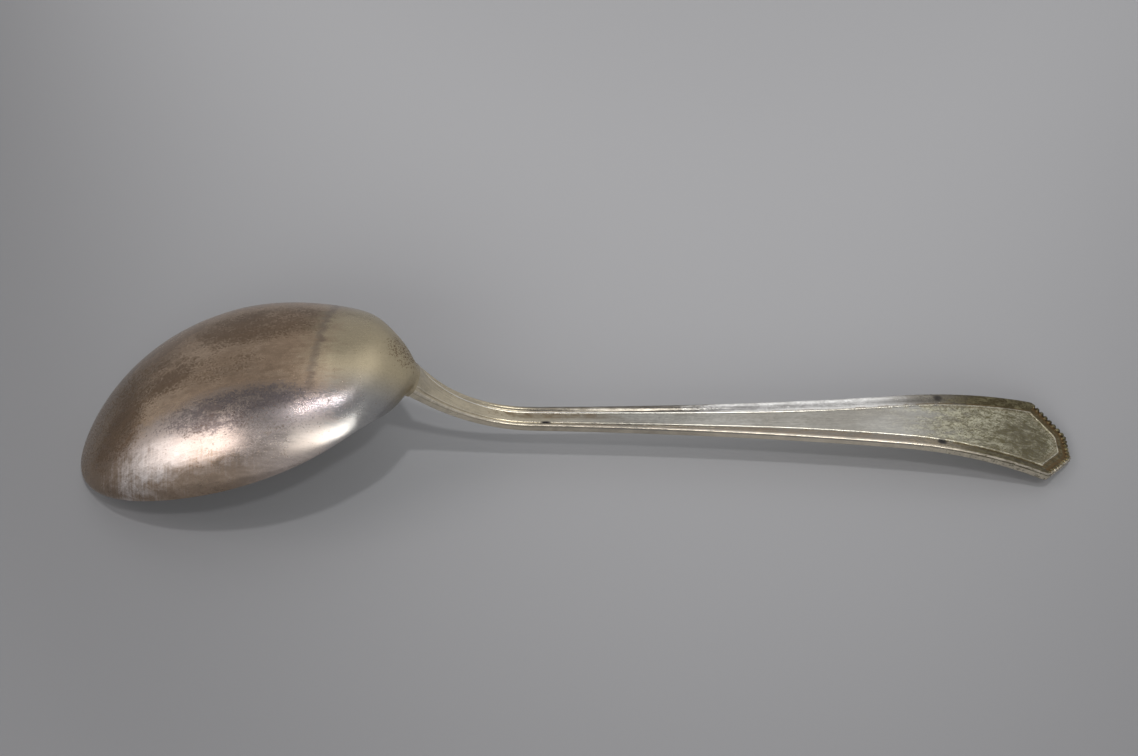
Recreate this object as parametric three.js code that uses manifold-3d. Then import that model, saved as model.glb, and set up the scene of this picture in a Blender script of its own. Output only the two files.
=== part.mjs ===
// Soup spoon, lying face down as it rests on a table: the bowl's tip and the handle's end touch z = 0.
// It has two pieces, a pressed bowl and a struck handle, which meet face to face at the neck.
// Millimetres and degrees, +Z up, +X from the bowl's tip to the handle's end, alike on both sides of y = 0.

import * as THREE from 'three';
import Module from 'manifold-3d';
import { mergeVertices } from 'three/addons/utils/BufferGeometryUtils.js';

// Side profile, a chain of arcs from tip to end along the rim of the bowl and the front of the handle
const TIP_CURL_RUN = 30;
const TIP_CURL_TURN = 12.1;
const HEEL_REACH = 9.2; // the heel bend starts this far before the bowl's end
const HEEL_BEND_RUN = 8.3;
const HEEL_BEND_TURN = 62.6;
const NECK_RUN = 4.7; // the steep stretch between the two bends
const NECK_SWEEP_RUN = 22.1;
const NECK_SWEEP_TURN = 43.6;
const HANDLE_RUN = 68.6; // the straight stretch of the handle
const END_ARCH_RUN = 32.8;
const END_ARCH_TURN = 25.7;

// Bowl
const BOWL_LENGTH = 67.2; // along the rim line
const BOWL_WIDTH = 44.9;
const BOWL_HEIGHT = 10.2; // from the rim line to the back
const BOWL_WALL = 1.3;
const RIM_WIDTH = 1.3;
const HEEL_WALL = 3;
const HEEL_FILLET = 1.2; // where the rim turns into the neck
const KEEL_FILLET = 1.3; // where the back of the bowl runs into the neck
const OVAL_TIP_POWER = 0.49; // how the rim widens from the tip
const OVAL_HEEL_POWER = 0.48; // how the rim narrows to the heel
const KEEL_TIP_POWER = 0.97; // how the back rises from the tip
const KEEL_HEEL_POWER = 0.91; // how the back falls to the heel
const CROWN_POWER = 0.5; // roundness of the bowl across: 0.5 is half an ellipse
const HEEL_CROWN_POWER = 0.83; // the same at the heel and along the neck, which are flatter at the sides

// Neck, where the two pieces meet
const NECK_LEAD = 0.7; // from the bowl's end to the joint
const NECK_WIDTH = 4.6;
const NECK_ROOT_WIDTH = 7.4; // where it spreads to meet the heel
const NECK_THICKNESS = 1.65; // at its edges
const NECK_RISE = 1.4; // how much thicker the neck is along its middle
const NECK_TAPER = 3.6; // how quickly that rise and spread run out along the handle
const NECK_RAMP = 5.4; // length over which the thin rim thickens to the neck

// Handle
const HANDLE_THICKNESS = 1.58;
const END_WIDTH = 18.9; // across the outer corners of the end
const END_FLAT = 6.1; // the short straight edge at the very end
const END_CLIP = 6.1; // length of the clipped corners along the handle
const FLARE_POWER = 2.42; // how late the handle widens

// Struck relief on the back of the handle: land, sloping border, thread and panel
const LAND_WIDTH = 0.5;
const EDGE_EASE = 0.15;
const BORDER_WIDTH = 2.8;
const BORDER_SHARE = 0.62; // most of the half width that the border takes on the narrow stem
const BORDER_BLEND = 0.4;
const PANEL_SINK = 0.45;
const THREAD_WIDTH = 0.4;
const THREAD_HEIGHT = 0.16;
const FRONT_SINK = 0.2;
const RELIEF_FADE = 3.5; // length over which the relief rises out of the plain neck

// Row of beads around the end, parted by notches in the land
const BEAD_PITCH = 1.1;
const NOTCH_DEPTH = 0.3;

// Facets
const BOWL_STEPS = 34;
const BOWL_LANES = 14; // from the rim to the keel
const HOLLOW_STEPS = 26;
const NECK_STEPS = 3;
const HANDLE_STEPS = 42;

const { clamp, smoothstep, lerp, degToRad } = THREE.MathUtils;
const wasm = await Module();
wasm.setup();

const JOINT = BOWL_LENGTH + NECK_LEAD;

const STRETCHES = [
  { run: TIP_CURL_RUN, turn: -TIP_CURL_TURN },
  { run: BOWL_LENGTH - HEEL_REACH - TIP_CURL_RUN, turn: 0 },
  { run: HEEL_BEND_RUN, turn: -HEEL_BEND_TURN },
  { run: NECK_RUN, turn: 0 },
  { run: NECK_SWEEP_RUN, turn: NECK_SWEEP_TURN },
  { run: HANDLE_RUN, turn: 0 },
  { run: END_ARCH_RUN, turn: -END_ARCH_TURN },
];
const PROFILE_LENGTH = STRETCHES.reduce((sum, stretch) => sum + stretch.run, 0);
const RUN_START = PROFILE_LENGTH - END_ARCH_RUN - HANDLE_RUN;

// Follows the chain of arcs for a distance, starting level at the tip
function walk(distance) {
  const at = { x: 0, z: 0, slope: 0 };
  let left = distance;
  for (const { run, turn } of STRETCHES) {
    const step = Math.min(left, run);
    const bend = (degToRad(turn) * step) / run;
    const chord = bend === 0 ? step : (step * Math.sin(bend / 2)) / (bend / 2);
    at.x += chord * Math.cos(at.slope + bend / 2);
    at.z += chord * Math.sin(at.slope + bend / 2);
    at.slope += bend;
    left -= step;
  }
  return at;
}

// The whole chain is tipped up until its far end is level with the tip again
const FAR_END = walk(PROFILE_LENGTH);
const TILT = -Math.atan2(FAR_END.z, FAR_END.x);

// A place on the spoon: distance along the profile, distance sideways, height off it toward the back
function place(distance, side, height) {
  const at = walk(distance);
  const slope = at.slope + TILT;
  const x = at.x * Math.cos(TILT) - at.z * Math.sin(TILT);
  const z = at.x * Math.sin(TILT) + at.z * Math.cos(TILT);
  return new THREE.Vector3(x - height * Math.sin(slope), side, z + height * Math.cos(slope));
}

function smoothMax(a, b, blend) {
  return (a + b + Math.hypot(a - b, blend)) / 2;
}

function smoothMin(a, b, blend) {
  return -smoothMax(-a, -b, blend);
}

// Mirrors half a section, from front to back on the +Y side, into a closed ring
function mirrored(half) {
  const other = half.slice(1, -1).reverse().map((p) => new THREE.Vector3(p.x, -p.y, p.z));
  return [...half, ...other];
}

// A ring shrunk to one point, which closes a loft with a flat cap or a tip
function closing(ring, point) {
  return ring.map(() => point.clone());
}

// Joins rings of equal count into one closed body
function loft(rings) {
  const count = rings[0].length;
  const faces = [];
  for (let i = 0; i + 1 < rings.length; i++) {
    for (let j = 0; j < count; j++) {
      const k = (j + 1) % count;
      faces.push(rings[i][j], rings[i][k], rings[i + 1][k]);
      faces.push(rings[i][j], rings[i + 1][k], rings[i + 1][j]);
    }
  }
  const loose = new THREE.BufferGeometry().setFromPoints(faces);
  const merged = mergeVertices(loose);
  const corners = merged.index.array;
  const kept = [];
  for (let i = 0; i < corners.length; i += 3) {
    const [a, b, c] = [corners[i], corners[i + 1], corners[i + 2]];
    if (a !== b && b !== c && c !== a) kept.push(a, b, c);
  }
  merged.setIndex(kept);
  return merged;
}

function toManifold(geometry) {
  const mesh = new wasm.Mesh({
    numProp: 3,
    vertProperties: new Float32Array(geometry.attributes.position.array),
    triVerts: new Uint32Array(geometry.index.array),
  });
  mesh.merge();
  return new wasm.Manifold(mesh);
}

function toGeometry(manifold) {
  const mesh = manifold.getMesh();
  const geometry = new THREE.BufferGeometry();
  geometry.setAttribute('position', new THREE.BufferAttribute(mesh.vertProperties, 3));
  geometry.setIndex(new THREE.BufferAttribute(mesh.triVerts, 1));
  return geometry;
}

// Rises from 0 at the tip to 1 and falls to 0 at the heel
function arched(u, tipPower, heelPower) {
  if (u <= 0 || u >= 1) return 0;
  const peak = tipPower / (tipPower + heelPower);
  const top = peak ** tipPower * (1 - peak) ** heelPower;
  return (u ** tipPower * (1 - u) ** heelPower) / top;
}

// Bowl: half width, height of the back and height of the edge at a distance along the profile

function heelShare(distance) {
  return smoothstep(distance, BOWL_LENGTH / 2, BOWL_LENGTH);
}

function filletShare(distance) {
  return heelShare(distance) * (1 - smoothstep(distance, BOWL_LENGTH - NECK_LEAD, JOINT));
}

function bowlHalfWidth(distance) {
  const oval = (BOWL_WIDTH / 2) * arched(distance / BOWL_LENGTH, OVAL_TIP_POWER, OVAL_HEEL_POWER);
  const neck = (NECK_ROOT_WIDTH / 2) * heelShare(distance);
  return smoothMax(oval, neck, HEEL_FILLET * filletShare(distance));
}

// 1 at the joint and in the bowl, running out to 0 where the handle's straight stretch starts
function neckShare(distance) {
  return clamp((RUN_START - distance) / (RUN_START - JOINT), 0, 1) ** NECK_TAPER;
}

// Height of a rounded back across the spoon: 1 along the middle, 0 at the edge
function crown(share, power) {
  return Math.max(1 - share ** 2, 0) ** power;
}

function crownPower(distance) {
  return lerp(CROWN_POWER, HEEL_CROWN_POWER, heelShare(distance));
}

function bowlBack(distance) {
  const dome = BOWL_HEIGHT * arched(distance / BOWL_LENGTH, KEEL_TIP_POWER, KEEL_HEEL_POWER);
  const neck = (NECK_THICKNESS + NECK_RISE * neckShare(distance)) * heelShare(distance);
  return smoothMax(dome, neck, KEEL_FILLET * filletShare(distance));
}

function bowlEdge(distance) {
  return NECK_THICKNESS * smoothstep(distance, JOINT - NECK_RAMP, JOINT);
}

function bowlRing(distance) {
  const halfWidth = bowlHalfWidth(distance);
  const edge = bowlEdge(distance);
  const back = bowlBack(distance);
  const power = crownPower(distance);
  const half = [place(distance, 0, 0), place(distance, halfWidth / 2, 0), place(distance, halfWidth, 0)];
  for (let lane = 0; lane <= BOWL_LANES; lane++) {
    const share = Math.cos((Math.PI / 2) * (lane / BOWL_LANES));
    half.push(place(distance, halfWidth * share, edge + (back - edge) * crown(share, power)));
  }
  return mirrored(half);
}

function bowlBody() {
  const rings = [];
  for (let step = 1; step <= BOWL_STEPS; step++) {
    rings.push(bowlRing((BOWL_LENGTH / 2) * (1 - Math.cos((Math.PI * step) / BOWL_STEPS))));
  }
  for (let step = 1; step <= NECK_STEPS; step++) {
    rings.push(bowlRing(lerp(BOWL_LENGTH, JOINT, step / NECK_STEPS)));
  }
  rings.unshift(closing(rings[0], place(0, 0, 0)));
  rings.push(closing(rings[0], place(JOINT, 0, NECK_THICKNESS / 2)));
  return loft(rings);
}

// The hollow is cut out of the bowl: an oval inside the rim, open below it
function bowlHollow() {
  const length = BOWL_LENGTH - RIM_WIDTH - HEEL_WALL;
  const rings = [];
  for (let step = 0; step <= HOLLOW_STEPS; step++) {
    const u = (1 - Math.cos((Math.PI * step) / HOLLOW_STEPS)) / 2;
    const distance = RIM_WIDTH + length * u;
    const halfWidth = (BOWL_WIDTH / 2 - RIM_WIDTH) * arched(u, OVAL_TIP_POWER, OVAL_HEEL_POWER);
    const top = (BOWL_HEIGHT - BOWL_WALL) * arched(u, KEEL_TIP_POWER, KEEL_HEEL_POWER);
    const half = [place(distance, 0, -BOWL_WALL), place(distance, halfWidth, -BOWL_WALL)];
    for (let lane = 0; lane <= BOWL_LANES; lane++) {
      const share = Math.cos((Math.PI / 2) * (lane / BOWL_LANES));
      half.push(place(distance, halfWidth * share, top * crown(share, crownPower(distance))));
    }
    rings.push(mirrored(half));
  }
  return loft(rings);
}

// Handle: each station has a point on the outline and the direction in which its lanes run inward

const CORNER = PROFILE_LENGTH - END_CLIP;

function handleHalfWidth(distance) {
  const share = (distance - JOINT) / (CORNER - JOINT);
  const spread = ((NECK_ROOT_WIDTH - NECK_WIDTH) / 2) * neckShare(distance);
  return lerp(NECK_WIDTH / 2, END_WIDTH / 2, share ** FLARE_POWER) + spread;
}

function handleThickness(distance) {
  return lerp(NECK_THICKNESS, HANDLE_THICKNESS, smoothstep(distance, JOINT, RUN_START));
}

function borderWidth(distance) {
  const halfWidth = handleHalfWidth(Math.min(distance, CORNER));
  return smoothMin(BORDER_WIDTH, BORDER_SHARE * halfWidth, BORDER_BLEND);
}

// Inward direction at a corner between two edges, so that both lanes keep their distance to the edges
function mitre(before, after) {
  const a = new THREE.Vector2(before.y, -before.x).normalize();
  const b = new THREE.Vector2(after.y, -after.x).normalize();
  const reach = 1 + a.dot(b);
  return a.add(b).divideScalar(reach);
}

function cornerStation(edge, inward) {
  return { edge, inward, centre: edge.x + inward.x * borderWidth(CORNER), notch: 0 };
}

// Stations between two corners, with a notch at every other one
function beadedEdge(from, to) {
  const beads = Math.max(1, Math.round(from.edge.distanceTo(to.edge) / BEAD_PITCH));
  const stations = [];
  for (let step = 1; step < 2 * beads; step++) {
    const share = step / (2 * beads);
    stations.push({
      edge: from.edge.clone().lerp(to.edge, share),
      inward: from.inward.clone().lerp(to.inward, share),
      centre: lerp(from.centre, to.centre, share),
      notch: step % 2,
    });
  }
  return stations;
}

function handleStations() {
  const stations = [];
  const side = new THREE.Vector2(0, -1);
  for (let step = 0; step < HANDLE_STEPS; step++) {
    const distance = lerp(JOINT, CORNER, step / HANDLE_STEPS);
    const edge = new THREE.Vector2(distance, handleHalfWidth(distance));
    stations.push({ edge, inward: side, centre: distance, notch: 0 });
  }
  const outer = new THREE.Vector2(CORNER, END_WIDTH / 2);
  const inner = new THREE.Vector2(PROFILE_LENGTH, END_FLAT / 2);
  const middle = new THREE.Vector2(PROFILE_LENGTH, 0);
  const flank = outer.clone().sub(stations.at(-1).edge);
  const clip = inner.clone().sub(outer);
  const flat = middle.clone().sub(inner);
  const first = cornerStation(outer, mitre(flank, clip));
  const second = cornerStation(inner, mitre(clip, flat));
  const last = cornerStation(middle, mitre(flat, flat));
  stations.push(first, ...beadedEdge(first, second), second, ...beadedEdge(second, last), last);
  return stations;
}

function handleRing({ edge, inward, centre, notch }) {
  const top = handleThickness(edge.x);
  const border = borderWidth(edge.x);
  const relief = smoothstep(edge.x, JOINT, JOINT + RELIEF_FADE);
  const panel = top - PANEL_SINK * relief;
  const front = FRONT_SINK * relief;
  const land = top - NOTCH_DEPTH * notch;
  const rise = NECK_RISE * neckShare(edge.x);
  const lane = (inset, height) => place(edge.x + inward.x * inset, edge.y + inward.y * inset, height);
  const raised = (inset, height) => {
    const share = (edge.y + inward.y * inset) / handleHalfWidth(Math.min(edge.x, CORNER));
    return lane(inset, height + rise * crown(share, HEEL_CROWN_POWER));
  };
  return mirrored([
    place(centre, 0, front),
    lane(border, front),
    lane(LAND_WIDTH, 0),
    lane(0, 0),
    lane(0, land - EDGE_EASE * relief),
    raised(EDGE_EASE, land),
    raised(LAND_WIDTH, land),
    raised(border - THREAD_WIDTH, panel),
    raised(border - THREAD_WIDTH / 2, panel + THREAD_HEIGHT * relief),
    raised(border, panel),
    place(centre, 0, panel + rise),
  ]);
}

function handleBody() {
  const rings = handleStations().map(handleRing);
  rings.unshift(closing(rings[0], place(JOINT, 0, NECK_THICKNESS / 2)));
  return loft(rings);
}

// Both pieces, moved so that the middle of the spoon stands over the origin

const bowlGeometry = toGeometry(toManifold(bowlBody()).subtract(toManifold(bowlHollow())));
const handleGeometry = toGeometry(toManifold(handleBody()));

const spoon = new THREE.Group();

const bowl = new THREE.Mesh(
  bowlGeometry,
  new THREE.MeshStandardMaterial({ color: 0xa89a8c, roughness: 0.34, metalness: 1 }),
);
bowl.name = 'bowl';
spoon.add(bowl);

const handle = new THREE.Mesh(
  handleGeometry,
  new THREE.MeshStandardMaterial({ color: 0xb8b4a4, roughness: 0.3, metalness: 1 }),
);
handle.name = 'handle';
spoon.add(handle);

const extent = new THREE.Box3().setFromObject(spoon);
spoon.position.x = -(extent.min.x + extent.max.x) / 2;

export default spoon;
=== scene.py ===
import math

import bpy
import numpy as np
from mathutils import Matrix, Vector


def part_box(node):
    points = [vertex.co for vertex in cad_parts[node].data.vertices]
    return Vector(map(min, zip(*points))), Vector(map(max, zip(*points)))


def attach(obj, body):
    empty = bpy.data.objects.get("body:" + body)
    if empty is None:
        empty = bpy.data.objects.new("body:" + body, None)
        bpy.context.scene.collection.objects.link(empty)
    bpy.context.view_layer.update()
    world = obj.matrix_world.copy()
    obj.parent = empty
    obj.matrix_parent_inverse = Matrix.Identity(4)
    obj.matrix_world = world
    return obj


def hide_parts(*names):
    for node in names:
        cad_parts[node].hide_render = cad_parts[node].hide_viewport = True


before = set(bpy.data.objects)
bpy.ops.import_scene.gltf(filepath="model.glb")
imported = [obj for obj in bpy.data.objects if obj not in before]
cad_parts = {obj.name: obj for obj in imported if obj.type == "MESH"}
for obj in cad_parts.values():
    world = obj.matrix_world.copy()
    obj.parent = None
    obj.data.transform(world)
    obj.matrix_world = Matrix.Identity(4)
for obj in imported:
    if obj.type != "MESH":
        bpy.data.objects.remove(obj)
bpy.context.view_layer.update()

# Bowl: the deep oval bowl with its heel and the root of the neck, pressed from nickel silver and silver plated.
# It lies face down on its tip. The plate is worn pale near the rim and has tarnished brown over the back.
# Lengths here are in millimetres along and across the spoon, as on the maker's drawing.

# The spoon's line from the tip to the handle's end: how many degrees it has turned down at each mark along it
turned = np.array(
    (
        (0, 0),
        (30, 12.1),
        (58.0, 12.1),
        (66.3, 74.7),
        (71.0, 74.7),
        (93.1, 31.1),
        (161.7, 31.1),
        (194.5, 56.8),
    )
)
line_end = turned[-1, 0]
mark_count, easing = 3855, 101
line_marks = np.linspace(0, line_end, mark_count)
bend = np.pad(np.interp(line_marks, *turned.T), easing // 2, mode="edge")
bend = -np.radians(np.convolve(bend, np.ones(easing) / easing, mode="valid"))
hop = line_marks[1]
run = np.concatenate(([0], np.cumsum(np.cos((bend[1:] + bend[:-1]) / 2) * hop)))
climb = np.concatenate(([0], np.cumsum(np.sin((bend[1:] + bend[:-1]) / 2) * hop)))
tip_up = -math.atan2(climb[-1], run[-1])
line_x = run * math.cos(tip_up) - climb * math.sin(tip_up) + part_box("bowl")[0][0] * 1000
line_z = run * math.sin(tip_up) + climb * math.cos(tip_up)
line_slope = bend + tip_up


def on_spoon(along, side, height):
    """Places, in metres, at a distance along the spoon's line, to its side, and off it toward the back."""
    slope = np.interp(along, line_marks, line_slope)
    x = np.interp(along, line_marks, line_x) - height * np.sin(slope)
    z = np.interp(along, line_marks, line_z) + height * np.cos(slope)
    return np.stack((x, side + 0 * x, z), axis=-1) / 1000


def eased(value, low, high):
    """0 below low, 1 above high, smooth between."""
    share = np.clip((value - low) / (high - low), 0, 1)
    return share * share * (3 - 2 * share)


def larger(a, b, blend):
    """The larger of the two, with a fillet where they cross."""
    return (a + b + np.hypot(a - b, blend)) / 2


def arched(share, tip_power, heel_power):
    """A full arch from 0 at the tip over 1 to 0 at the heel. Smaller powers make blunter ends."""
    share = np.clip(share, 0, 1)
    peak = tip_power / (tip_power + heel_power)
    return share**tip_power * (1 - share) ** heel_power / (peak**tip_power * (1 - peak) ** heel_power)


def crown(share, power):
    """The arch across the spoon: 1 in the middle, 0 at both edges."""
    return np.clip(1 - share**2, 0, 1) ** power


bowl_length, bowl_half, bowl_height = 67.2, 22.45, 10.2
outline_powers, back_powers = (0.49, 0.48), (0.97, 0.91)
section_power, heel_gain = 0.5, 0.33
joint, handle_start = 67.9, 93.1
neck_half, root_flare, root_rise, root_thick = 2.3, 1.4, 1.4, 1.65


def neck_share(along):
    """1 at the joint, and 0 from where the straight of the handle starts."""
    return np.clip((handle_start - along) / (handle_start - joint), 0, 1.3) ** 3.6


def neck_side(along):
    return neck_half + root_flare * neck_share(along)


def neck_rise(along):
    return root_rise * neck_share(along)


def pressed_sheet(points):
    """A grid of as many lanes and stations as there are points, moved onto them."""
    lanes, stations = points.shape[:2]
    bpy.ops.object.select_all(action="DESELECT")
    bpy.ops.mesh.primitive_grid_add(
        x_subdivisions=stations - 1, y_subdivisions=lanes - 1, size=0.1, calc_uvs=False
    )
    sheet = bpy.context.object
    sheet.data.vertices.foreach_set("co", points.ravel())
    sheet.data.update()
    return sheet


def weld(reach):
    bpy.ops.mesh.select_all(action="SELECT")
    bpy.ops.mesh.remove_doubles(threshold=reach)


def select_open_edges():
    bpy.ops.mesh.select_mode(type="EDGE")
    bpy.ops.mesh.select_all(action="DESELECT")
    bpy.ops.mesh.select_non_manifold(
        use_wire=False, use_multi_face=False, use_non_contiguous=False, use_verts=False
    )


def finish_surface():
    """Turns every face outward and shades all but the sharp edges smooth."""
    bpy.ops.mesh.select_all(action="SELECT")
    bpy.ops.mesh.normals_make_consistent(inside=False)
    bpy.ops.object.mode_set(mode="OBJECT")
    bpy.ops.object.shade_smooth_by_angle(angle=math.radians(40))


lane = np.sin(np.linspace(-np.pi / 2, np.pi / 2, 97))[:, None]
along = joint * (1 - np.cos(np.linspace(0, np.pi / 2, 301)))
to_heel = eased(along, bowl_length / 2, bowl_length)
fillet = to_heel * (1 - eased(along, bowl_length - 0.7, joint))
oval = bowl_half * arched(along / bowl_length, *outline_powers)
dome = bowl_height * arched(along / bowl_length, *back_powers)
half = larger(oval, neck_side(along) * to_heel, 1.2 * fillet)
back = larger(dome, (root_thick + neck_rise(along)) * to_heel, 1.3 * fillet)
edge = root_thick * eased(along, joint - 5, joint)
heights = edge + (back - edge) * crown(lane, section_power + heel_gain * to_heel)

# The wall that grows up under the heel has a rounded edge, and a sharper one at the joint
sharper = 0.83
round_edge = edge * (1 - sharper * eased(along, joint - 3, joint)) + 1e-6
into_edge = np.clip(1 - half * (1 - abs(lane)) / round_edge, 0, 1)
heights = heights - round_edge * (1 - np.sqrt(1 - into_edge**2))
sides = half * np.concatenate((lane[:1], lane, lane[-1:]))
heights = np.concatenate((0 * heights[:1], heights, 0 * heights[-1:]))
bowl = pressed_sheet(on_spoon(along, sides, heights))
bowl.name = "spoon_bowl"

# The heel is rubbed smooth where it runs into the neck, all but the rim's edge and the joint
heel_reach, lanes_rubbed = 8, 45
inner_lanes = abs(np.arange(len(sides))[:, None] - len(sides) // 2) < lanes_rubbed
bpy.ops.object.mode_set(mode="EDIT")
bpy.ops.mesh.select_mode(type="VERT")
bpy.ops.mesh.select_all(action="DESELECT")
for short_of_joint in (2.0, 1.4, 0.8):
    heel_zone = (along > bowl_length - heel_reach) & (along < joint - short_of_joint) & inner_lanes
    bpy.ops.object.mode_set(mode="OBJECT")
    bowl.data.vertices.foreach_set("select", heel_zone.ravel())
    bpy.ops.object.mode_set(mode="EDIT")
    bpy.ops.mesh.vertices_smooth(factor=0.5, repeat=6)
    bpy.ops.mesh.select_all(action="DESELECT")
weld(1e-7)
bpy.ops.mesh.select_all(action="DESELECT")
bpy.ops.object.mode_set(mode="OBJECT")

# The joint's end of the sheet is closed with one flat face
joint_middle = on_spoon(joint, 0.0, 0.0)
joint_up = (on_spoon(joint, 0.0, 1.0) - joint_middle) * 1000
for vertex in bowl.data.vertices:
    away = np.array(vertex.co) - joint_middle
    off_joint = away[0] * joint_up[2] - away[2] * joint_up[0]
    vertex.select = bool(abs(off_joint) < 1e-6 and abs(away[0]) < 0.01)
bpy.ops.object.mode_set(mode="EDIT")
bpy.ops.mesh.edge_face_add()
bpy.ops.object.mode_set(mode="OBJECT")

# The hollow inside is a second sheet, bridged to the first across the flat of the rim
rim, wall, heel_wall = 1.3, 1.3, 3
hollow_length = bowl_length - rim - heel_wall
station = (1 - np.cos(np.linspace(0, np.pi, 181))) / 2
along = rim + hollow_length * station
half = (bowl_half - rim) * arched(station, *outline_powers)
back = (bowl_height - wall) * arched(station, *back_powers)
power = section_power + heel_gain * eased(along, bowl_length / 2, bowl_length)
pressed_sheet(on_spoon(along, half * lane, back * crown(lane, power)))
bpy.ops.object.mode_set(mode="EDIT")
weld(1e-7)
bpy.ops.mesh.flip_normals()
bpy.ops.object.mode_set(mode="OBJECT")
bowl.select_set(True)
bpy.context.view_layer.objects.active = bowl
bpy.ops.object.join()
bpy.ops.object.mode_set(mode="EDIT")
select_open_edges()
bpy.ops.mesh.bridge_edge_loops()
finish_surface()


class Wire:
    """One output in a material's nodes. Sums on wires add Math nodes, and node() adds any other."""

    def __init__(self, tree, socket=None):
        self.tree = tree
        self.socket = socket

    def node(self, kind, settings, sockets, out=0):
        made = self.tree.nodes.new(kind)
        for name, value in settings.items():
            setattr(made, name, value)
        for name, value in sockets.items():
            if isinstance(value, Wire):
                self.tree.links.new(value.socket, made.inputs[name])
            else:
                made.inputs[name].default_value = value
        return Wire(self.tree, made.outputs[out])

    def math(self, operation, first, second):
        return self.node("ShaderNodeMath", {"operation": operation}, {0: first, 1: second})

    def __add__(self, other):
        return self.math("ADD", self, other)

    __radd__ = __add__

    def __sub__(self, other):
        return self.math("SUBTRACT", self, other)

    def __rsub__(self, other):
        return self.math("SUBTRACT", other, self)

    def __mul__(self, other):
        return self.math("MULTIPLY", self, other)

    __rmul__ = __mul__

    def __truediv__(self, other):
        return self.math("DIVIDE", self, other)

    def __pow__(self, other):
        return self.math("POWER", self, other)


def axis(place, number):
    return place.node("ShaderNodeSeparateXYZ", {}, {0: place}, out=number)


def scaled(wire, amount):
    """A place or a colour, multiplied by an amount."""
    return wire.node("ShaderNodeVectorMath", {"operation": "SCALE"}, {0: wire, "Scale": amount})


def rises(value, low, high):
    """0 below low, 1 above high, smooth between; the other way round if high is the lower."""
    settings = {"interpolation_type": "SMOOTHSTEP"}
    if low < high:
        return value.node("ShaderNodeMapRange", settings, {0: value, 1: low, 2: high})
    return value.node("ShaderNodeMapRange", settings, {0: value, 1: high, 2: low, 3: 1, 4: 0})


def cloudy(place, scale, stretch=(1, 1, 1), detail=4.0, rough=0.55, twist=0.0, turn=0.0):
    """Noise from 0 to 1 whose blotches are about 1 / scale millimetres wide."""
    sockets = {"Vector": place, "Rotation": (0, 0, turn), "Scale": [scale * s for s in stretch]}
    sized = place.node("ShaderNodeMapping", {}, sockets)
    sockets = {"Vector": sized, "Scale": 1.0, "Detail": detail, "Roughness": rough, "Distortion": twist}
    return place.node("ShaderNodeTexNoise", {}, sockets)


def tinted(amount, under, over):
    """Lays the colour over on the colour under by an amount from 0 to 1."""
    under = under if isinstance(under, Wire) else (*under, 1)
    over = over if isinstance(over, Wire) else (*over, 1)
    return amount.node("ShaderNodeMix", {"data_type": "RGBA"}, {0: amount, 6: under, 7: over}, out=2)


def patch(middle_x, middle_y, reach_x, reach_y):
    """A soft-edged oval on the piece whose finish is being made: 1 in its middle, 0 outside."""
    return rises(((x - middle_x) / reach_x) ** 2 + ((y - middle_y) / reach_y) ** 2, 1, 0.1)


def plated_metal(name):
    """A new metal finish: its shader and a wire with places on the piece in millimetres."""
    finish = bpy.data.materials.new(name)
    finish.use_nodes = True
    shader = finish.node_tree.nodes["Principled BSDF"]
    shader.inputs["Metallic"].default_value = 1
    places = Wire(finish.node_tree).node("ShaderNodeTexCoord", {}, {}, out="Object")
    return finish, shader, scaled(places, 1000.0)


def coat(piece, finish, shader, colour, roughness, depth, relief):
    """Puts a finish on a piece, with its colour, its roughness and a fine relief in metres."""
    normal = depth.node("ShaderNodeBump", {}, {"Strength": 0.6, "Distance": relief, "Height": depth})
    for wire, socket in ((colour, "Base Color"), (roughness, "Roughness"), (normal, "Normal")):
        finish.node_tree.links.new(wire.socket, shader.inputs[socket])
    piece.data.materials.clear()
    piece.data.materials.append(finish)


tarnish, shader, place = plated_metal("tarnished_plate")
x, y = axis(place, 0), axis(place, 1)
broad = cloudy(place, 0.1, (0.7, 1.2, 1), detail=5, rough=0.6, twist=0.6, turn=0.5)
grime = rises(cloudy(place, 0.5, (0.6, 1.3, 1), detail=8, rough=0.75, twist=0.5, turn=0.4), 0.3, 0.7)
grain = rises(cloudy(place, 2.6, detail=5, rough=0.75), 0.3, 0.7)
wiped = rises(cloudy(place, 1.0, (0.1, 3.5, 0), detail=4, rough=0.65, turn=0.12), 0.3, 0.7)
rubbed = rises(cloudy(place, 1.0, (2.6, 0.16, 0), detail=4, rough=0.65, turn=-0.12), 0.3, 0.7)

# Brown over the far side, worn to a pinkish grey toward the near rim, with a painted dark reflection between
# the two: a grey band for the darker room mirrored there
near = rises(y + 8 * (broad - 0.5) + 2.5 * (grime - 0.5), -6, -13)
colour = tinted(near, (0.43, 0.31, 0.215), (0.57, 0.49, 0.445))
lighter_brown = rises(broad + 0.2 * (grime - 0.5), 0.4, 0.62) * (1 - near)
colour = tinted(lighter_brown * 0.8, colour, (0.53, 0.40, 0.29))
# Painted reflection: a dark grey band where the metal mirrors the darker part of the room.
painted_reflection_band = rises(patch(-57, -11.5, 25, 6) + 0.9 * (grime - 0.5) + 0.8 * (grain - 0.5), 0.35, 1.25)
colour = tinted(painted_reflection_band, colour, (0.19, 0.165, 0.165))
# Pale patches beside the lamps' reflections: partly cleaner plate, partly a painted highlight that widens the
# glow round them.
clean_plate_and_painted_glow = (0.6 * patch(-51, -15, 9, 4) + 1.4 * patch(-75, -17, 9, 5)) * (0.3 + 0.5 * grime)
colour = tinted(clean_plate_and_painted_glow, colour, (0.74, 0.68, 0.65))
tip = rises(x + 7 * (grime - 0.5) + 6 * (rubbed - 0.5), -76, -86)
colour = tinted(tip * 0.85, colour, (0.30, 0.215, 0.145))
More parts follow.
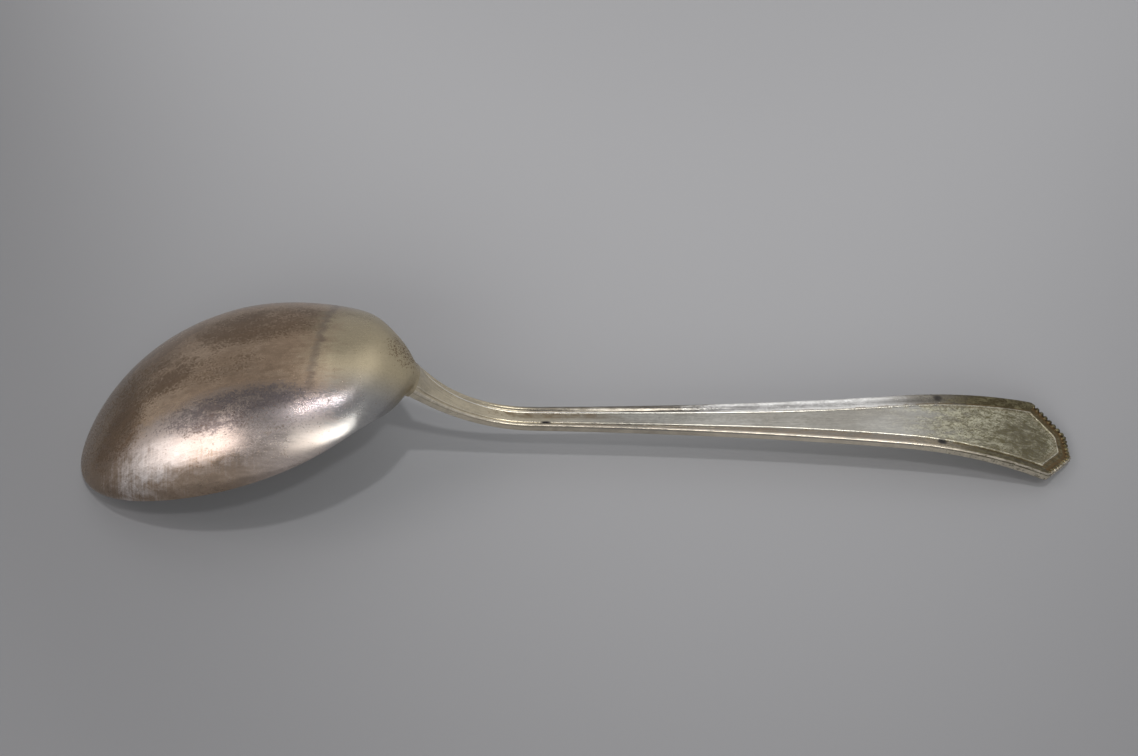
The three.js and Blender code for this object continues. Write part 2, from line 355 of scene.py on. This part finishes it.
# The near rim toward the tip is browner: tarnish, darkened further as painted shade for the shadowed table that
# it mirrors.
near_rim_tarnish_and_shade = rises(y + 3 * (grime - 0.5) + 2 * (rubbed - 0.5), -17.5, -21.5) * rises(x, -48, -62)
colour = tinted(near_rim_tarnish_and_shade * 0.8, colour, (0.38, 0.275, 0.19))
stain = patch(-56, 9, 19, 8) * 0.8 + patch(-65, -1.5, 14, 5) * 0.4
stain = stain + patch(-83, -8, 7, 7) * 0.75 + patch(-79, 2, 12, 9) * 0.6
stain = rises(stain + (broad - 0.5) * 1.5 + (grime - 0.5) * 0.6 + (grain - 0.5) * 0.9, 0.2, 0.95)
colour = tinted(stain * 0.9, colour, (0.16, 0.105, 0.065))

# The heel is pale, yellowish on top and grey on the near side, up to a faint dark line across the bowl
past_line = x - 0.1 * y + 46.2
heel = rises(past_line + 4 * (grime - 0.5) - 4 * rises(y, -2, -9), -5, 6)
heel_colour = tinted(rises(y, -3, -11), (0.47, 0.40, 0.275), (0.31, 0.305, 0.305))
colour = tinted(heel, colour, heel_colour)
off_line = past_line.math("ABSOLUTE", past_line + 1.2 * (grime - 0.5), 0)
line = rises(off_line, 1.3, 0.1) * rises(y, -11, -7)
colour = tinted(line * 0.5, colour, (0.19, 0.15, 0.13))
pits = rises(grain + 0.35 * patch(-31, 3, 4, 6) + 0.25 * patch(-84, 0, 13, 14), 0.85, 1.05)
colour = tinted(pits * 0.85, colour, (0.15, 0.10, 0.055))
shade = 0.68 + (0.3 * grime + 0.14 * wiped) * (1 - 0.75 * heel) + 0.2 * heel + 0.2 * grain
colour = scaled(colour, shade)
strokes = rises(x, -56, -70) * rises(y, -4, -12)
roughness = 0.11 + 0.1 * (1 - heel) + 0.1 * stain + 0.06 * grime + 0.06 * strokes + 0.2 * pits
roughness = roughness + 0.1 * patch(-43, -17, 9, 6) + 0.2 * rises(x, -43, -34)
depth = wiped * (1 - 0.6 * heel) + rubbed * strokes * 2.5 + 0.5 * grain - 2 * pits
coat(bowl, tarnish, shader, colour, roughness, depth, relief=5e-6)
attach(bowl, "root")
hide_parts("bowl")

# Handle: the flat stem that widens to a clipped end, struck between dies, plated and soldered to the bowl.
# The dies leave a border that slopes down to a fine raised thread and a sunk panel, and beads round the end.
# Its front, which faces the table, has the same border in a shallower form.

end_half, end_flat, clip_run = 9.45, 3.05, 6.1
corner = line_end - clip_run
bead_pitch = 1.1
stations_per_bead = 12


def stem_half(along):
    flare = np.clip((along - joint) / (corner - joint), 0, 1) ** 2.42
    return neck_side(along) + (end_half - neck_half) * flare


# The outline of one half as a chain of points: down the flank, along the clip, to the middle of the flat
flank_run = np.concatenate((np.linspace(joint, corner - 4, 210), np.linspace(corner - 4, corner, 41)[1:]))
clip_length = math.hypot(clip_run, end_half - end_flat)
clip_beads = round(clip_length / bead_pitch)
flat_beads = round(2 * end_flat / bead_pitch) / 2
clip_count, flat_count = clip_beads * stations_per_bead, int(flat_beads * stations_per_bead)
clip_share = np.linspace(0, 1, clip_count + 1)[1:, None]
flat_share = np.linspace(0, 1, flat_count + 1)[1:, None]
clip_chain = (1 - clip_share) * (corner, end_half) + clip_share * (line_end, end_flat)
flat_chain = (1 - flat_share) * (line_end, end_flat) + flat_share * (line_end, 0.0)
outline = np.concatenate((np.column_stack((flank_run, stem_half(flank_run))), clip_chain, flat_chain))
plain = np.zeros(len(flank_run))
bead_turn = np.concatenate((plain, clip_beads * clip_share[:, 0], clip_beads + flat_beads * flat_share[:, 0]))
beaded = eased(bead_turn, 0.05, 0.4)

# The way in from the edge, longer at the two corners so that the border keeps its width round them
clip_in = np.array((-(end_half - end_flat), -clip_run)) / clip_length
flank_in, flat_in = np.array((0.0, -1.0)), np.array((-1.0, 0.0))
corner_in = (flank_in + clip_in) / (1 + flank_in @ clip_in)
flat_corner_in = (clip_in + flat_in) / (1 + clip_in @ flat_in)
inward = np.concatenate(
    (
        np.tile(flank_in, (len(flank_run) - 1, 1)),
        [corner_in],
        corner_in + clip_share * (flat_corner_in - corner_in),
        flat_corner_in + flat_share * (flat_in - flat_corner_in),
    )
)

# Both corners of the end are rounded a little, as a struck and trimmed edge is
for rounding in range(60):
    outline[1:-1] = outline[1:-1] * 0.5 + (outline[:-2] + outline[2:]) * 0.25
    inward[1:-1] = inward[1:-1] * 0.5 + (inward[:-2] + inward[2:]) * 0.25

# Widths, heights and depths of the struck relief, which fades out at the joint
stem_thick, panel_sink, front_sink = 1.58, 0.45, 0.2
widest_border, land, eased_edge = 2.8, 0.5, 0.28
thread_width, thread_height = 0.42, 0.17
bead_row, bead_inset, bead_radius, bead_squash, bead_channel = 1.06, 0.5, 0.52, 0.85, 0.38
bead_notch, bead_clean = 0.14, 0.36
station, side = outline.T
half_here = stem_half(np.minimum(station, corner))
thick = stem_thick + (root_thick - stem_thick) * neck_share(station)
relief = eased(station, joint, joint + 3)
thread_on = eased(station, joint + 0.2, joint + 1.2)
border_share = 0.62 - 0.3 * neck_share(station)
border = -larger(-border_share * half_here, -widest_border, 0.4)
sink = panel_sink * relief

# The panel's lanes meet on a middle line that stops short of the end
parting, flank_stop = 150, len(flank_run)
corner_middle, end_middle = 178, 187
before_corner = station[parting:flank_stop]
middle = np.concatenate(
    (
        station[:parting],
        np.interp(before_corner, (station[parting], corner), (station[parting], corner_middle)),
        np.linspace(corner_middle, end_middle, len(station) - flank_stop + 1)[1:],
    )
)
neck_section = section_power + heel_gain
half_lanes, half_marks, half_recesses = [], [], []


def add_lane(inset, height, mark, inward_share=0.0, on_back=True, recess=0.0):
    """One lane along half the handle, at an inset from the edge, or part way from there to the middle."""
    lane_along = (station + inward[:, 0] * inset) * (1 - inward_share) + middle * inward_share
    lane_side = (side + inward[:, 1] * inset) * (1 - inward_share)
    if on_back:
        height = height + neck_rise(lane_along) * crown(lane_side / half_here, neck_section)
    half_lanes.append(np.column_stack((lane_along, lane_side, height + 0 * side)))
    half_marks.append(mark + 0 * side)
    half_recesses.append(recess + 0 * side)


def bead_height(inset):
    """Round beads in a row along the edge, standing in a channel below the land."""
    off = (bead_turn % 1 - 0.5) * bead_pitch
    return np.sqrt(np.clip(bead_radius**2 - off**2 - (inset - bead_inset) ** 2, 0, None)) * bead_squash


# Panel, thread, and the border's slope, which turns into the row of beads round the end
for share in np.linspace(1, 0, 11):
    add_lane(border, thick - sink, 2 + share, share)
for share in np.linspace(0, 1, 8)[1:]:
    thread_rise = thread_height * thread_on * math.sin(math.pi * share)
    add_lane(border - thread_width * share, thick - sink + thread_rise, 2 - share)
slope_start = border - thread_width
to_row = 0.3
for share in np.linspace(0, 1, 20)[1:]:
    plain_inset = np.interp(share, (0, 0.7, 1), (0, 0.8, 1))
    plain_inset = slope_start + (eased_edge - slope_start) * plain_inset
    plain_height = thick - sink * eased((plain_inset - land) / (slope_start - land), 0, 1)
    if share < to_row:
        row_inset = slope_start + (bead_row - slope_start) * share / to_row
        row_height = thick - sink + 0.25 * sink * share / to_row
    else:
        row_inset = bead_row + (eased_edge - bead_row) * (share - to_row) / (1 - to_row)
        row_height = thick - bead_channel + bead_height(row_inset)
    add_lane(
        plain_inset + (row_inset - plain_inset) * beaded,
        plain_height + (row_height - plain_height) * beaded,
        1 - share,
        recess=beaded * np.clip(1 - bead_height(row_inset) / bead_clean, 0, 1) * (share > 0.2),
    )

# The eased edge, the wall under it, and the front with its shallower border
between = beaded * (1 - np.sqrt(np.clip(1 - (2 * (bead_turn % 1) - 1) ** 2, 0, 1)))
notch = bead_notch * between
wall_top = thick + beaded * (bead_height(eased_edge) - bead_channel)
for angle in np.radians(np.linspace(0, 90, 7)[1:]):
    inset = eased_edge * (1 - math.sin(angle)) + notch
    add_lane(inset, wall_top - eased_edge * (1 - math.cos(angle)), -angle / math.pi, recess=0.6 * between)
wall_top = wall_top - eased_edge + neck_rise(station) * crown(side / half_here, neck_section)
for share in np.linspace(0, 1, 6)[1:]:
    add_lane(notch * (1 - share), wall_top + (eased_edge - wall_top) * share, -1, on_back=False)
for angle in np.radians(np.linspace(0, 90, 6)[1:]):
    add_lane(eased_edge * (1 - math.cos(angle)), eased_edge * (1 - math.sin(angle)), -2, on_back=False)
for share in np.linspace(0, 1, 6)[1:]:
    add_lane(land + (border - land) * share, front_sink * relief * share, -2, on_back=False)
for share in np.linspace(0, 1, 6)[1:]:
    add_lane(border, front_sink * relief, -2, share, on_back=False)

half_lanes = np.array(half_lanes)
lanes = np.concatenate((half_lanes[:0:-1] * (1, -1, 1), half_lanes))
marks, recesses = np.array(half_marks), np.array(half_recesses)
handle = pressed_sheet(on_spoon(lanes[..., 0], lanes[..., 1], lanes[..., 2]))
handle.name = "spoon_handle"
for name, values in (("across", marks), ("recess", recesses)):
    mark = handle.data.attributes.new(name, "FLOAT", "POINT")
    mark.data.foreach_set("value", np.concatenate((values[:0:-1], values)).astype(np.float32).ravel())
bpy.ops.object.mode_set(mode="EDIT")
weld(1e-6)
select_open_edges()
bpy.ops.mesh.edge_face_add()
finish_surface()

# The mark across counts 3 to 2 over the panel, 2 to 1 over the thread, 1 to 0 over the border, and less outside
worn, shader, place = plated_metal("worn_plate")
x, y = axis(place, 0), axis(place, 1)
across = place.node("ShaderNodeAttribute", {"attribute_name": "across"}, {}, out="Fac")
recess = place.node("ShaderNodeAttribute", {"attribute_name": "recess"}, {}, out="Fac")
broad = cloudy(place, 0.16, (0.6, 1.3, 1), detail=5, rough=0.6, twist=0.6)
grime = rises(cloudy(place, 0.7, (0.6, 1.2, 1), detail=8, rough=0.75, twist=0.5), 0.3, 0.7)
grain = rises(cloudy(place, 2.2, (0.7, 1.2, 1), detail=6, rough=0.75), 0.3, 0.7)
wiped = rises(cloudy(place, 1.0, (0.1, 3.5, 0), detail=4, rough=0.65), 0.3, 0.7)

# Clean pale metal in the middle, yellowish at the neck and olive with dirt toward the end
colour = tinted(rises(broad, 0.35, 0.65), (0.47, 0.457, 0.42), (0.40, 0.38, 0.34))
neck = rises(x + 4 * (grime - 0.5), 12, -16)
colour = tinted(neck, colour, (0.60, 0.53, 0.40))
end = rises(x + 12 * (grime - 0.5) + 10 * (broad - 0.5), 58, 76)
end_colour = tinted(rises(grime + 1.5 * (grain - 0.5), 0.25, 0.75), (0.19, 0.165, 0.08), (0.68, 0.65, 0.49))
colour = tinted(end * 0.9, colour, end_colour)

# The border is dark on the far side but for a stretch with a painted highlight, brownish on the near side, and
# dirty round the end
border = rises(across, 1.02, 0.95) * rises(across, -0.6, -0.45)
far_border = border * rises(y, 0.3, 1.0) * rises(x, -14, -6)
far_colour = tinted(grime, (0.12, 0.10, 0.08), (0.31, 0.29, 0.26))
colour = tinted(far_border * (0.75 + 0.25 * grime), colour, far_colour)
# Painted highlight: a near-white stretch on the far border, where the metal mirrors a bright part of the room.
far_border_painted_highlight = far_border * rises(x + 6 * (grime - 0.5), 18, 30) * rises(x + 6 * (grime - 0.5), 66, 54)
colour = tinted(far_border_painted_highlight * (0.6 + 0.4 * grime), colour, (0.93, 0.92, 0.90))
near_border = border * rises(y, -0.5, -2) * rises(x, -14, 6)
colour = tinted(near_border * (0.2 + 0.55 * grime), colour, (0.40, 0.30, 0.205))
dirty_end = border * rises(x + 8 * (grime - 0.5), 66, 76)
dirty_colour = tinted(rises(grime + 0.6 * (grain - 0.5), 0.3, 0.9), (0.09, 0.072, 0.035), (0.22, 0.195, 0.105))
colour = tinted(dirty_end * 0.9, colour, dirty_colour)

# The walls are pale, and the thread and the near edge are rubbed bright and carry a painted highlight
walls = rises(across, -0.8, -0.95)
colour = tinted(walls * 0.85, colour, (0.80, 0.72, 0.58))
# Painted highlight: the thread and the near edge are lighter in colour, over metal rubbed bright.
rubbed_and_painted_glint = rises(across, 1.2, 1.4) * rises(across, 1.8, 1.6)
rubbed_and_painted_glint = rubbed_and_painted_glint + rises(across, 0.14, 0.04) * rises(across, -0.5, -0.35) * rises(y, 0.5, -0.5)
# The far thread by the neck is painted near white, as a highlight.
far_thread_painted_highlight = rises(y, 0, 0.4) * rises(x, 50, 36) * rises(across, 1, 1.2)
glint_colour = tinted(far_thread_painted_highlight, (0.90, 0.83, 0.72), (1, 0.98, 0.95))
colour = tinted(rubbed_and_painted_glint * (0.25 + 0.4 * grime + 0.6 * far_thread_painted_highlight), colour, glint_colour)

# Dirt lies along both feet of the thread, in the channel of the stem and between the beads
foot = rises(across, 1.8, 2.0) * rises(across, 2.2, 2.04) * 0.7
foot = foot + rises(across, 1.2, 1.0) * rises(across, 0.8, 0.95)
foot = foot * rises(grime + 0.3 * end + 0.2 * far_border, 0.5, 0.85) * rises(x, -22, -10)
channel_run = rises(x + 8 * (grime - 0.5), -18, -10) * rises(x + 8 * (grime - 0.5), 14, 3)
channel = rises(across, 1.95, 2.1) * rises(y, -0.9, 0.2) * channel_run
dirt = rises(foot * 0.7 + channel * (0.35 + 0.5 * grime) + 1.3 * recess, 0.1, 1.0)
colour = tinted(dirt * 0.9, colour, (0.19, 0.125, 0.06))
specks = rises(grain + 0.28 * end + 0.25 * patch(84, -1, 6, 7) * end, 0.9, 1.08)
colour = tinted(specks * 0.8, colour, (0.12, 0.10, 0.06))
chips = patch(-5.3, -1.3, 1.2, 0.5) + patch(67.6, -5.1, 1.15, 1.0) + 0.8 * patch(68.2, 6.0, 1.1, 0.8)
colour = tinted(chips * rises(across, -0.3, -0.1), colour, (0.05, 0.045, 0.045))
stem = rises(x, -18, -10) * rises(x, 30, 14)
shade = 0.74 + 0.2 * grime + 0.16 * grain + 0.14 * wiped - 0.22 * stem
colour = scaled(colour, shade)
roughness = 0.15 + 0.12 * rises(x, -18, -28) + 0.08 * rises(broad, 0.3, 0.7)
roughness = roughness + 0.15 * dirt + 0.12 * end + 0.06 * wiped
depth = wiped + 0.5 * grain + 1.2 * end * grime - 2 * specks - dirt
coat(handle, worn, shader, colour, roughness, depth, relief=8e-6)
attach(handle, "root")
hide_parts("handle")

# Table top: the plain, matt, pale grey sheet that the spoon lies on.
# It is a stage for the spoon and not a piece of it. Its grey is painted darker toward the front and the sides,
# as painted shade for the light falling off there.
bpy.ops.object.select_all(action="DESELECT")
bpy.ops.mesh.primitive_plane_add(size=6)
table_top = bpy.context.object
table_top.name = "table_top"
pale = bpy.data.materials.new("pale_grey")
pale.use_nodes = True
pale_shader = pale.node_tree.nodes["Principled BSDF"]
spot = Wire(pale.node_tree).node("ShaderNodeTexCoord", {}, {}, out="Object")
off_middle = axis(spot, 0) - 0.03
# Painted shade: the grey darkens toward the front and the sides.
painted_falloff_shade = rises(axis(spot, 1) - 8 * (off_middle * off_middle), 0.1, -0.16)
pale_colour = tinted(painted_falloff_shade, (0.366, 0.369, 0.382), (0.196, 0.198, 0.206))
pale.node_tree.links.new(pale_colour.socket, pale_shader.inputs["Base Color"])
pale_shader.inputs["Roughness"].default_value = 0.7
pale_shader.inputs["Specular IOR Level"].default_value = 0.15
table_top.data.materials.append(pale)

# Light: two small lamps overhead cast the shadows on the table, and two wide fills soften them.
# White cards overhead, in front and to the left show as the bright spots in the plate.
# The room is an even grey, a little darker overhead, with two brighter parts high behind the spoon.
world = bpy.data.worlds.new("room")
bpy.context.scene.world = world
world.use_nodes = True
ways = Wire(world.node_tree).node("ShaderNodeTexCoord", {}, {}, out="Generated")


def toward(way):
    """1 straight that way in the room, less to its sides."""
    return ways.node("ShaderNodeVectorMath", {"operation": "DOT_PRODUCT"}, {0: ways, 1: way}, out=1)


room = tinted(rises(axis(ways, 2), 0.2, 0.95), (0.44, 0.44, 0.45), (0.30, 0.30, 0.31))
room = tinted(rises(toward((0.478, 0.569, 0.669)), 0.55, 0.95), room, (0.52, 0.52, 0.52))
room = tinted(rises(toward((0.146, 0.478, 0.866)), 0.91, 0.995), room, (0.98, 0.98, 0.98))
world.node_tree.links.new(room.socket, world.node_tree.nodes["Background"].inputs["Color"])


def lamp(name, turn, rise, distance, size, brightness, colour, on_plate=True, on_table=True):
    """A flat lamp by its turn from the camera's side and its rise from the table, in degrees."""
    light = bpy.data.lights.new(name, "AREA")
    light.shape = "RECTANGLE"
    light.size, light.size_y = size
    light.energy = brightness * math.pi * size[0] * size[1]
    light.color = colour
    stand = bpy.data.objects.new(name, light)
    bpy.context.scene.collection.objects.link(stand)
    turn, rise = math.radians(turn), math.radians(rise)
    stand.rotation_euler = (math.pi / 2 - rise, 0, turn)
    way = np.array((math.sin(turn) * math.cos(rise), -math.cos(turn) * math.cos(rise), math.sin(rise)))
    stand.location = way * distance + (-0.03, 0, 0.02)
    stand.visible_glossy = on_plate
    stand.visible_diffuse = on_table


lamp("high_lamp", 20, 77, 1.2, (0.06, 0.06), 290, (1.0, 0.99, 0.98), on_plate=False)
lamp("front_lamp", 28, 57, 1.2, (0.06, 0.06), 200, (1.0, 0.99, 0.98), on_plate=False)
lamp("front_fill", -15, 26, 1.2, (0.8, 0.5), 4.6, (1.0, 1.0, 0.97), on_plate=False)
lamp("left_fill", -50, 26, 1.2, (0.5, 0.5), 1.8, (1.0, 1.0, 0.97), on_plate=False)
lamp("high_card", -107.5, 84.3, 1.0, (0.05, 0.03), 105, (1.0, 0.96, 1.0), on_table=False)
lamp("front_card", 22, 56, 1.0, (0.3, 0.4), 6.5, (1.0, 0.99, 0.93), on_table=False)
lamp("left_card", -78, 45, 1.0, (0.56, 0.44), 2.5, (1.0, 0.91, 0.86))
lamp("side_card", -90, 26, 1.0, (0.5, 0.3), 0.9, (1.0, 0.91, 0.86), on_table=False)

# Camera: it stands where the photograph was taken, in front of the spoon, and looks down at 45 degrees.
# Its lens is known as a length in the photograph's pixels, over the photograph's width.
photo_lens, photo_width = 1914, 1138
eye = bpy.data.cameras.new("eye")
eye.sensor_width = 36
eye.lens = photo_lens / photo_width * eye.sensor_width
eye.clip_start = 0.01
stand = bpy.data.objects.new("eye", eye)
bpy.context.scene.collection.objects.link(stand)
stand.location = (-0.000335, -0.245687, 0.265309)
stand.rotation_euler = (math.radians(45), 0, math.radians(0.159))
bpy.context.scene.camera = stand

bpy.context.scene.view_settings.view_transform = "Standard"
